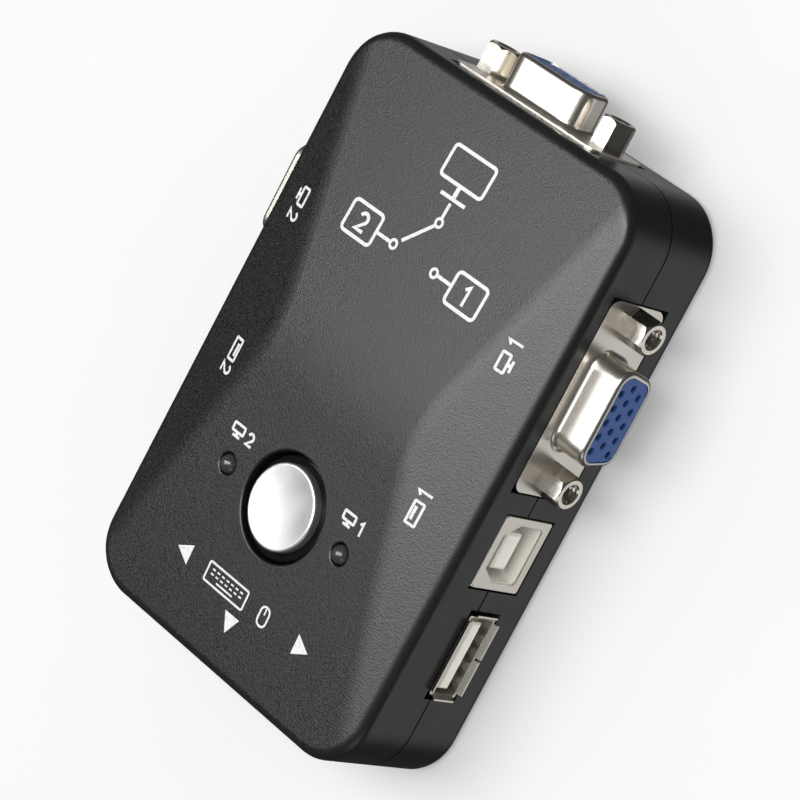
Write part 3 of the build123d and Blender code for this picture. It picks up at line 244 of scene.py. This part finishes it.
def case_material():
    """Black ABS: a sand texture on the top, smooth satin on the rims and walls."""
    s = Shader("case_abs")
    top = sand_area(s)
    grain = s.noise(GRAIN_SCALE, detail=2.0, roughness=0.6)
    pits = s.cells(PIT_SCALE)
    relief = s.math("ADD", s.math("MULTIPLY", grain, 0.75), s.math("MULTIPLY", pits, 0.45))
    broad = s.noise(90, detail=3.0)
    tone = s.mix(broad, (0.0055, 0.0058, 0.0060), (0.0080, 0.0083, 0.0084))
    speckle = s.span(grain, 0.38, 0.62)
    top_tone = s.mix(speckle, (0.0004, 0.0012, 0.0010), (0.0118, 0.0140, 0.0132))
    s.surface(Base_Color=s.mix(top, tone, top_tone))
    smooth = s.spread(s.noise(160, detail=4.0), 0.30, 0.36)
    rough = s.span(grain, 0.35, 0.65, 0.32, 0.44)
    elsewhere = s.math("SUBTRACT", 1.0, top)
    shares = s.math("MULTIPLY", rough, top), s.math("MULTIPLY", smooth, elsewhere)
    s.surface(Roughness=s.math("ADD", *shares), Specular_IOR_Level=0.5)
    fine = s.bump(s.noise(5200, detail=2.0), 0.004 * MM, 0.5)
    s.surface(Normal=s.bump(relief, SAND_HEIGHT * MM, top, fine))
    return s.material


def nickel_material():
    """Bright nickel plate with a fine even grain."""
    s = Shader("nickel_plate")
    clouds = s.noise(300, detail=3.0, roughness=0.5)
    fine = s.noise(6500, detail=2.0)
    s.surface(Base_Color=s.mix(clouds, (0.74, 0.70, 0.63), (0.79, 0.755, 0.69)))
    s.surface(Metallic=1.0, Roughness=s.spread(fine, 0.27, 0.35))
    s.surface(Normal=s.bump(fine, 0.006 * MM, 0.6, s.bump(clouds, 0.008 * MM, 0.25)))
    return s.material


def turned_nickel_material():
    """The screwlocks' nickel: smoother and more cloudy than the shells'."""
    s = Shader("turned_nickel")
    clouds = s.noise(700, detail=3.0)
    fine = s.noise(5200, detail=2.0)
    s.surface(Base_Color=s.mix(clouds, (0.68, 0.64, 0.565), (0.82, 0.79, 0.72)))
    s.surface(Metallic=1.0, Roughness=s.spread(clouds, 0.18, 0.26))
    s.surface(Normal=s.bump(fine, 0.003 * MM, 0.4))
    return s.material


def blue_material():
    """Blue moulded plastic of the VGA insulators."""
    s = Shader("blue_pbt")
    clouds = s.noise(600, detail=3.0)
    s.surface(Base_Color=s.mix(clouds, (0.020, 0.058, 0.185), (0.027, 0.074, 0.230)))
    s.surface(Roughness=s.spread(clouds, 0.40, 0.52))
    s.surface(Normal=s.bump(s.noise(4200, detail=3.0), 0.006 * MM, 0.5))
    return s.material


def white_plastic_material():
    """Warm white moulded plastic, a little translucent."""
    s = Shader("white_nylon")
    clouds = s.noise(500, detail=3.0)
    s.surface(Base_Color=s.mix(clouds, (0.64, 0.625, 0.56), (0.71, 0.695, 0.63)))
    s.surface(Roughness=s.spread(clouds, 0.42, 0.55), Subsurface_Weight=0.08)
    s.bsdf.inputs["Subsurface Scale"].default_value = 0.6 * MM
    s.surface(Normal=s.bump(s.noise(3800, detail=3.0), 0.006 * MM, 0.5))
    return s.material


def contact_material():
    """Thin gold plate on the contacts."""
    s = Shader("gold_flash")
    clouds = s.noise(900, detail=3.0)
    s.surface(Base_Color=s.mix(clouds, (0.72, 0.52, 0.20), (0.85, 0.66, 0.32)))
    s.surface(Metallic=1.0, Roughness=s.spread(clouds, 0.2, 0.35))
    return s.material


def cap_material():
    """Satin silver paint with fine metallic flake."""
    s = Shader("satin_silver")
    flake = s.noise(5200, detail=2.0, roughness=0.6)
    clouds = s.noise(260, detail=3.0)
    s.surface(Base_Color=s.mix(flake, (0.46, 0.465, 0.475), (0.66, 0.665, 0.68)))
    s.surface(Metallic=0.9, Roughness=s.spread(clouds, 0.34, 0.42))
    s.surface(Normal=s.bump(flake, 0.008 * MM, 0.6))
    return s.material


def gloss_black_material():
    """Polished black plastic of the button's stem."""
    s = Shader("polished_black")
    clouds = s.noise(400, detail=3.0)
    s.surface(Base_Color=s.mix(clouds, (0.003, 0.003, 0.003), (0.006, 0.006, 0.006)))
    s.surface(Roughness=s.spread(clouds, 0.07, 0.11), Specular_IOR_Level=0.22)
    s.surface(Normal=s.bump(s.noise(3500), 0.002 * MM, 0.3))
    return s.material


def lamp_material():
    """Smoky epoxy, cloudy enough to blur what lies inside."""
    s = Shader("lamp_epoxy")
    clouds = s.noise(900, detail=2.0)
    s.surface(Base_Color=s.mix(clouds, (0.08, 0.083, 0.087), (0.13, 0.134, 0.14)))
    s.surface(Transmission_Weight=0.8, IOR=1.6, Roughness=s.spread(clouds, 0.2, 0.28))
    return s.material


def steel_material():
    """Zinc-plated steel with cloudy patches."""
    s = Shader("zinc_steel")
    clouds = s.noise(500, detail=4.0)
    s.surface(Base_Color=s.mix(clouds, (0.52, 0.53, 0.55), (0.68, 0.69, 0.70)))
    s.surface(Metallic=1.0, Roughness=s.spread(clouds, 0.26, 0.42))
    s.surface(Normal=s.bump(s.noise(4200), 0.006 * MM, 0.5))
    return s.material


def board_material():
    """Green solder mask with a fine weave showing through."""
    s = Shader("solder_mask")
    weave = s.noise(1400, detail=2.0)
    s.surface(Base_Color=s.mix(weave, (0.008, 0.055, 0.022), (0.014, 0.080, 0.034)))
    s.surface(Roughness=s.spread(weave, 0.25, 0.38))
    s.surface(Normal=s.bump(weave, 0.01 * MM, 0.4))
    return s.material


# Small parts inside the case: slot, material name, darkest and lightest colour, metallic and roughness
COMPONENT_FINISHES = [
    ("spring_steel", "spring_wire", (0.4, 0.4, 0.4), (0.6, 0.6, 0.6), 1.0, (0.25, 0.4)),
    ("tinned_lead", "tinned", (0.55, 0.55, 0.53), (0.72, 0.72, 0.70), 1.0, (0.3, 0.45)),
    ("chip_black", "chip_epoxy", (0.012, 0.012, 0.012), (0.022, 0.022, 0.023), 0.0, (0.5, 0.65)),
    ("resistor_ceramic", "resistor", (0.02, 0.02, 0.022), (0.04, 0.04, 0.045), 0.0, (0.3, 0.5)),
    ("crystal_can", "crystal_case", (0.6, 0.58, 0.53), (0.75, 0.73, 0.68), 1.0, (0.2, 0.35)),
    ("capacitor_can", "capacitor_case", (0.6, 0.61, 0.62), (0.75, 0.76, 0.78), 1.0, (0.3, 0.45)),
]


def component_material(name, dark, light, metallic, roughness):
    """A plain cloudy finish with a fine grain, for a small part."""
    s = Shader(name)
    clouds = s.noise(800, detail=3.0)
    s.surface(Base_Color=s.mix(clouds, dark, light))
    s.surface(Metallic=metallic, Roughness=s.spread(clouds, *roughness))
    s.surface(Normal=s.bump(s.noise(4000), 0.005 * MM, 0.5))
    return s.material


def print_material():
    """White pad-printing ink, a little thin in places."""
    s = Shader("white_ink")
    thin = s.noise(1800, detail=4.0, roughness=0.6)
    s.surface(Base_Color=s.mix(s.span(thin, 0.30, 0.48), (0.34, 0.34, 0.34), (0.48, 0.48, 0.48)))
    s.surface(Roughness=s.spread(thin, 0.45, 0.60))
    s.surface(Normal=s.bump(s.noise(2300, detail=3.0, roughness=0.6), 0.03 * MM, 0.6))
    return s.material


def dress_nodes(turned):
    """Give every CAD node its material: turned nickel to the screwlocks, the others by their slot."""
    finishes = {
        "case_plastic": case_material(),
        "board_green": board_material(),
        "zinc_steel": steel_material(),
        "nickel_plate": nickel_material(),
        "blue_plastic": blue_material(),
        "white_plastic": white_plastic_material(),
        "gold_contact": contact_material(),
        "silver_cap": cap_material(),
        "black_gloss_plastic": gloss_black_material(),
        "lamp_epoxy": lamp_material(),
    }
    for slot_name, *finish in COMPONENT_FINISHES:
        finishes[slot_name] = component_material(*finish)
    for entry in frame["record"]["subparts"]:
        is_screwlock = entry["node"].endswith("_jackscrews")
        material = turned if is_screwlock else finishes[entry["material_slot"]]
        for slot in NODES[entry["node"]].material_slots:
            slot.material = material


# ---------------------------------------------------------------- printed marks

INK_THICKNESS = 0.02
INK_GRID = 0.8
INK_SPLITS = 3
WELD = 0.001
ABOVE_ALL = 50.0
LINE = 0.42
THIN_LINE = LINE * 0.8
THICK_LINE = 0.55
ARROW_LENGTH = 3.0
ARROW_WIDTH = 3.3
LAMP_LABEL = 2.3
PORT_LABEL = 2.6
KEYBOARD_SIZE = (9.6, 3.4)
MOUSE_HEIGHT = 3.4

# The wiring picture: a monitor over the arm's pivot, and a terminal and a box on each side
MONITOR_HEIGHT = 7.6
MONITOR_Y = 35.2
STEM_TOP = 31.0
STEM_BOTTOM = 28.6
PIVOT_X = 0.8
PIVOT_Y = 27.8
ARM = [(0.3, 27.1), (-3.6, 22.6)]
TERMINAL_X = 4.6
TERMINAL_Y = 21.5
RING_RADIUS = 0.65
WIRE_START = 5.5
WIRE_END = 8.2
BOX_X = 11.7
BOX_WIDTH = 6.4
BOX_HEIGHT = 5.0
BOX_CORNER = 0.7
BOX_NUMERAL = 3.2

# Each arrow's turn, x and y, and the places of the keyboard and the mouse between them
ARROWS = [(180, -13.75, -35.2), (0, 14.6, -35.2), (-90, 0.15, -39.7)]
KEYBOARD_PLACE = (-3.4, -35.2)
MOUSE_PLACE = (5.6, -35.2)


def arc(x, y, radius, start, end, steps=12):
    """Points along an arc, angles in degrees."""
    angles = [math.radians(start + (end - start) * i / steps) for i in range(steps + 1)]
    return [(x + radius * math.cos(a), y + radius * math.sin(a)) for a in angles]


def rounded_box(x, y, width, height, radius):
    """A closed outline with rounded corners, centred on x, y."""
    across, up = width / 2 - radius, height / 2 - radius
    corners = [(across, up, 0), (-across, up, 90), (-across, -up, 180), (across, -up, 270)]
    return [p for cx, cy, turn in corners for p in arc(x + cx, y + cy, radius, turn, turn + 90, 4)]


def ribbon(points, width, closed=False):
    """Four-sided faces along a line, with mitred corners."""
    points = [Vector(p) for p in points]
    count = len(points)
    edges = []
    for i, point in enumerate(points):
        way_in = point - points[i - 1] if closed or i > 0 else points[1] - points[0]
        way_out = points[(i + 1) % count] - point if closed or i < count - 1 else way_in
        way_in, way_out = way_in.normalized(), way_out.normalized()
        side = Vector((-way_in.y - way_out.y, way_in.x + way_out.x)).normalized()
        reach = width / 2 / max(0.5, side.dot(Vector((-way_in.y, way_in.x))))
        edges.append((point - side * reach, point + side * reach))
    following = edges[1:] + ([edges[0]] if closed else [])
    return [[a[0], b[0], b[1], a[1]] for a, b in zip(edges, following)]


def screen_mark(height, line):
    """A monitor on its foot, centred on the origin."""
    width, bottom = height * 1.25, -height / 2
    glass = rounded_box(0, height * 0.14, width - line, height * 0.72 - line, height * 0.08)
    foot = ribbon([(-width * 0.28, bottom + line / 2), (width * 0.28, bottom + line / 2)], line)
    neck = ribbon([(0, bottom + line), (0, -height * 0.22)], line * 1.4)
    return ribbon(glass, line, closed=True) + foot + neck


def socket_mark(height, line):
    """A flat socket with its tongue, centred on the origin."""
    width = height * 1.5
    mouth = ribbon(rounded_box(0, 0, width - line, height * 0.8 - line, 0.12), line, closed=True)
    tongue = ribbon([(-width * 0.27, height * 0.1), (width * 0.27, height * 0.1)], line * 1.2)
    return mouth + tongue


def keyboard_mark(width, height, line):
    """A keyboard with two rows of keys and a space bar."""
    faces = ribbon(rounded_box(0, 0, width - line, height - line, 0.3), line, closed=True)
    pitch = (width - 2.2 * line) / 8
    for row, y in enumerate((height * 0.20, -height * 0.02)):
        for key in range(7):
            x = (key - 3) * pitch
            faces += ribbon([(x - pitch * 0.28, y), (x + pitch * 0.28, y)], line * 0.8)
    return faces + ribbon([(-width * 0.2, -height * 0.24), (width * 0.2, -height * 0.24)], line * 0.8)


def mouse_mark(height, line):
    """A mouse with the gap between its two buttons."""
    outline = rounded_box(0, 0, height * 0.66 - line, height - line, height * 0.26)
    gap = ribbon([(0, height / 2 - line), (0, height * 0.08)], line * 0.8)
    return ribbon(outline, line, closed=True) + gap


def numeral(number, height, line):
    """The numeral 1 or 2, centred on the origin."""
    half = height / 2 - line / 2
    if number == 1:
        flag = [(-height * 0.2, half - height * 0.2), (line * 0.2, half)]
        return ribbon([*flag, (line * 0.2, -height / 2)], line)
    bowl = height * 0.25
    hook = arc(0, half - bowl, bowl, 165, -40, 10)
    return ribbon([*hook, (-bowl, -half), (bowl * 1.15, -half)], line)


def arrow(turn):
    """A filled arrowhead that points along +X before it is turned, in degrees."""
    tip, back = ARROW_LENGTH / 2, -ARROW_LENGTH / 2
    face = [Vector((tip, 0)), Vector((back, ARROW_WIDTH / 2)), Vector((back, -ARROW_WIDTH / 2))]
    return moved([face], 0, 0, turn)


def moved(faces, x, y, turn=0):
    """Faces turned by an angle in degrees and moved."""
    spin = Matrix.Rotation(math.radians(turn), 2)
    return [[spin @ corner + Vector((x, y)) for corner in face] for face in faces]


def pair_of(mark, number, height, line):
    """A pictogram with a numeral on its right."""
    return moved(mark, -height * 0.42, 0) + moved(numeral(number, height, line), height * 0.82, 0)


def terminal_ring(x, y):
    """The small ring of a terminal in the wiring picture."""
    return ribbon(arc(x, y, RING_RADIUS, 0, 340, 16), THICK_LINE * 0.8, closed=True)


def wiring_mark():
    """Two computers that a switch arm joins to one monitor."""
    faces = moved(screen_mark(MONITOR_HEIGHT, THICK_LINE), PIVOT_X, MONITOR_Y)
    faces += ribbon([(PIVOT_X, STEM_TOP), (PIVOT_X, STEM_BOTTOM)], THICK_LINE)
    faces += terminal_ring(PIVOT_X, PIVOT_Y)
    faces += ribbon(ARM, THICK_LINE)
    for side, number in ((-1, 2), (1, 1)):
        wire = [(side * x, TERMINAL_Y) for x in (WIRE_START, WIRE_END)]
        box = rounded_box(side * BOX_X, TERMINAL_Y, BOX_WIDTH, BOX_HEIGHT, BOX_CORNER)
        faces += terminal_ring(side * TERMINAL_X, TERMINAL_Y)
        faces += ribbon(wire, THICK_LINE)
        faces += ribbon(box, THICK_LINE, closed=True)
        faces += moved(numeral(number, BOX_NUMERAL, THICK_LINE), side * BOX_X, TERMINAL_Y)
    return faces


def mark_faces():
    """Every printed mark's outline, in millimetres in the case's plan."""
    # Picture, numeral and height of each label, with its x, y and turn
    labels = [
        (screen_mark, 2, LAMP_LABEL, (-13.1, -15.0)),
        (screen_mark, 1, LAMP_LABEL, (13.1, -15.0)),
        (screen_mark, 2, PORT_LABEL, (-25.0, 18.1, -90)),
        (socket_mark, 2, PORT_LABEL, (-22.3, -6.6, -90)),
        (screen_mark, 1, PORT_LABEL, (23.2, 18.0, 90)),
        (socket_mark, 1, PORT_LABEL, (21.9, -7.2, 90)),
    ]
    faces = wiring_mark()
    for picture, number, height, place in labels:
        faces += moved(pair_of(picture(height, LINE), number, height, LINE), *place)
    for turn, x, y in ARROWS:
        faces += moved(arrow(turn), x, y)
    faces += moved(keyboard_mark(*KEYBOARD_SIZE, THIN_LINE), *KEYBOARD_PLACE)
    faces += moved(mouse_mark(MOUSE_HEIGHT, THIN_LINE), *MOUSE_PLACE)
    return faces


def make_marks():
    """Lay the printed marks on the top cover as one thin layer of ink."""
    cover = NODES["top_cover"].data
    roof = BVHTree.FromPolygons([v.co for v in cover.vertices], [p.vertices for p in cover.polygons])
    ink = bmesh.new()
    for face in mark_faces():
        ink.faces.new([ink.verts.new((corner.x * MM, corner.y * MM, 0)) for corner in face])
    bmesh.ops.remove_doubles(ink, verts=ink.verts, dist=WELD * MM)
    for _ in range(INK_SPLITS):
        long_edges = [edge for edge in ink.edges if edge.calc_length() > INK_GRID * MM]
        bmesh.ops.subdivide_edges(ink, edges=long_edges, cuts=1, use_grid_fill=True)
    bmesh.ops.triangulate(ink, faces=ink.faces)
    for vertex in ink.verts:
        above = Vector((vertex.co.x, vertex.co.y, ABOVE_ALL * MM))
        place, _, _, _ = roof.ray_cast(above, Vector((0, 0, -1)))
        vertex.co.z = place.z + INK_THICKNESS * MM
    mesh = bpy.data.meshes.new("printed_marks")
    ink.to_mesh(mesh)
    ink.free()
    mesh.materials.append(print_material())
    marks = bpy.data.objects.new("printed_marks", mesh)
    bpy.context.scene.collection.objects.link(marks)
    body = marks.modifiers.new("thickness", "SOLIDIFY")
    body.thickness = 2 * INK_THICKNESS * MM
    body.offset = -1
    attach(marks, "case")


# ---------------------------------------------------------------- screw threads

THREAD_PITCH = 0.635
THREAD_ROOT = 1.45
THREAD_CREST = 1.15
THREAD_STEPS = 24
# Half the ridge's width at its root and at its crest, as parts of the pitch
ROOT_SPREAD = 0.42
CREST_SPREAD = 0.06
# How far the thread starts outside its mount's plane, and ends inside it
THREAD_START = 1.2
THREAD_END = -2.1


def add_thread(mesh, middle, outward):
    """One helical ridge with closed ends, on an axis that points out of the screwlock."""
    up = Vector((0, 0, 1))
    across = up.cross(outward)
    turns = (THREAD_START - THREAD_END) / THREAD_PITCH
    rings = []
    for step in range(int(turns * THREAD_STEPS) + 1):
        angle = 2 * math.pi * step / THREAD_STEPS
        depth = THREAD_START - THREAD_PITCH * step / THREAD_STEPS
        ray = across * math.cos(angle) + up * math.sin(angle)
        profile = (
            (THREAD_ROOT, depth + THREAD_PITCH * ROOT_SPREAD),
            (THREAD_CREST, depth + THREAD_PITCH * CREST_SPREAD),
            (THREAD_CREST, depth - THREAD_PITCH * CREST_SPREAD),
            (THREAD_ROOT, depth - THREAD_PITCH * ROOT_SPREAD),
        )
        rings.append([mesh.verts.new((middle + ray * r + outward * z) * MM) for r, z in profile])
    for ring, following in zip(rings, rings[1:]):
        for i in range(4):
            mesh.faces.new([ring[i], ring[(i + 1) % 4], following[(i + 1) % 4], following[i]])
    mesh.faces.new(rings[0][::-1])
    mesh.faces.new(rings[-1])


def make_threads(turned):
    """The threads inside the six screwlocks, where the record's mounts are."""
    threads = bmesh.new()
    mounts = [mount for mount in frame["record"]["mounts"] if mount["name"].endswith("_screwlocks")]
    for mount in mounts:
        centre, outward = Vector(mount["pos_m"]) / MM, Vector(mount["axis"])
        reach = Vector((0, 0, 1)).cross(outward) * mount["dims"]["spacing_x_mm"] / 2
        for middle in (centre - reach, centre + reach):
            add_thread(threads, middle, outward)
    bmesh.ops.recalc_face_normals(threads, faces=threads.faces)
    mesh = bpy.data.meshes.new("screwlock_threads")
    threads.to_mesh(mesh)
    threads.free()
    mesh.materials.append(turned)
    piece = bpy.data.objects.new("screwlock_threads", mesh)
    bpy.context.scene.collection.objects.link(piece)
    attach(piece, "case")


# ---------------------------------------------------------------- stage

PAPER_DARK = (0.35, 0.35, 0.35)
PAPER_LIGHT = (0.37, 0.37, 0.37)
# Radius and height of the paper: flat floor, bend and upright wall
SWEEP_PROFILE = [(0.3, 0.0), (0.8, 0.0), (2.0, 0.0), (2.6, 0.12), (3.0, 0.5), (3.1, 1.2), (3.1, 3.0)]
SWEEP_STEPS = 64
FLOOR_GAP = 0.02 * MM
# Painted light: the paper's own glow, weaker near the middle and stronger towards the wall, lifts the
# object's shadow on the floor
NEAR_PAINTED_GLOW = 0.28
NEAR_PAINTED_GLOW_RADIUS = 0.5
FAR_PAINTED_GLOW = 0.72
FAR_PAINTED_GLOW_RADIUS = 2.2
ROOM_RADIANCE = 0.05
# Pale patches of the room: direction, radiance, full within and none beyond, in degrees
PATCHES = [((0.64, -0.10, -0.76), 0.7, 12, 28), ((-0.61, 0.21, -0.76), 0.35, 10, 30)]
OVERHEAD_PLACE = Vector((-0.027, 0.091, 1.062))
OVERHEAD_SIZE = (1.5, 0.543)
OVERHEAD_RADIANCE = 8.4
FILL_PLACE = Vector((0.8, -0.7, 0.25))
FILL_SIZE = (0.5, 0.5)
FILL_RADIANCE = 1.0


def paper_material():
    """Pale paper with a painted glow that lifts the object's shadow on the floor and grows towards the
    wall; clear from behind.
    """
    s = Shader("studio_paper")
    s.surface(Base_Color=s.mix(s.noise(12, detail=3.0), PAPER_DARK, PAPER_LIGHT))
    s.surface(Roughness=0.8, Specular_IOR_Level=0.2)
    radius = s.hypotenuse(s.part_of(s.place, "X"), s.part_of(s.place, "Y"))
    # Painted light: emission that lightens the object's shadow near the middle and brightens the paper
    # towards the wall
    painted_glow = s.span(radius, NEAR_PAINTED_GLOW_RADIUS, FAR_PAINTED_GLOW_RADIUS, NEAR_PAINTED_GLOW, FAR_PAINTED_GLOW)
    s.surface(Emission_Color=(1.0, 1.0, 1.0), Emission_Strength=painted_glow)
    s.clear_from_behind()
    return s.material


def make_sweep():
    """A round sweep: a pale floor that curves up into a wall, with a painted glow that lifts the
    object's shadow and grows towards the wall, unseen in reflections.
    """
    angles = [2 * math.pi * i / SWEEP_STEPS for i in range(SWEEP_STEPS)]
    sweep = bmesh.new()
    rings = []
    for radius, height in SWEEP_PROFILE:
        ring = [(radius * math.cos(a), radius * math.sin(a), height) for a in angles]
        rings.append([sweep.verts.new(point) for point in ring])
    sweep.faces.new(rings[0])
    for inner, outer in zip(rings, rings[1:]):
        for i in range(SWEEP_STEPS):
            j = (i + 1) % SWEEP_STEPS
            face = sweep.faces.new([inner[i], outer[i], outer[j], inner[j]])
            face.smooth = True
    mesh = bpy.data.meshes.new("sweep")
    bmesh.ops.recalc_face_normals(sweep, faces=sweep.faces)
    sweep.faces.ensure_lookup_table()
    if sweep.faces[0].normal.z < 0:
        bmesh.ops.reverse_faces(sweep, faces=sweep.faces)
    sweep.to_mesh(mesh)
    sweep.free()
    mesh.materials.append(paper_material())
    backdrop = bpy.data.objects.new("sweep", mesh)
    backdrop.location.z = CAD_BOX[0][2] - FLOOR_GAP
    backdrop.visible_glossy = False
    backdrop.visible_shadow = False
    bpy.context.scene.collection.objects.link(backdrop)


def make_softbox(name, place, size, radiance):
    """A soft rectangular lamp that faces the object."""
    data = bpy.data.lights.new(name, "AREA")
    data.shape = "RECTANGLE"
    data.size, data.size_y = size
    data.energy = radiance * math.pi * size[0] * size[1]
    lamp = bpy.data.objects.new(name, data)
    back = place.normalized()
    across = Vector((0, 0, 1)).cross(back).normalized()
    up = back.cross(across)
    turn = Matrix((across, up, back)).transposed()
    lamp.matrix_world = Matrix.Translation(place) @ turn.to_4x4()
    bpy.context.scene.collection.objects.link(lamp)


def make_world():
    """A dim room with pale patches low on two sides, for the walls and metal to reflect."""
    world = bpy.data.worlds.new("studio")
    s = Shader(world)
    radiance = ROOM_RADIANCE
    for direction, patch, full, none in PATCHES:
        nearness = s.dot(s.direction, Vector(direction).normalized())
        limits = (math.cos(math.radians(none)), math.cos(math.radians(full)))
        radiance = s.math("ADD", radiance, s.span(nearness, *limits, 0.0, patch))
    background = s.nodes["Background"]
    s.put(background.inputs["Color"], (1.0, 1.0, 1.0))
    s.put(background.inputs["Strength"], radiance)
    bpy.context.scene.world = world


make_camera()
make_sweep()
make_world()
make_softbox("overhead", OVERHEAD_PLACE, OVERHEAD_SIZE, OVERHEAD_RADIANCE)
make_softbox("fill", FILL_PLACE, FILL_SIZE, FILL_RADIANCE)
turned_nickel = turned_nickel_material()
dress_nodes(turned_nickel)
make_threads(turned_nickel)
make_marks()
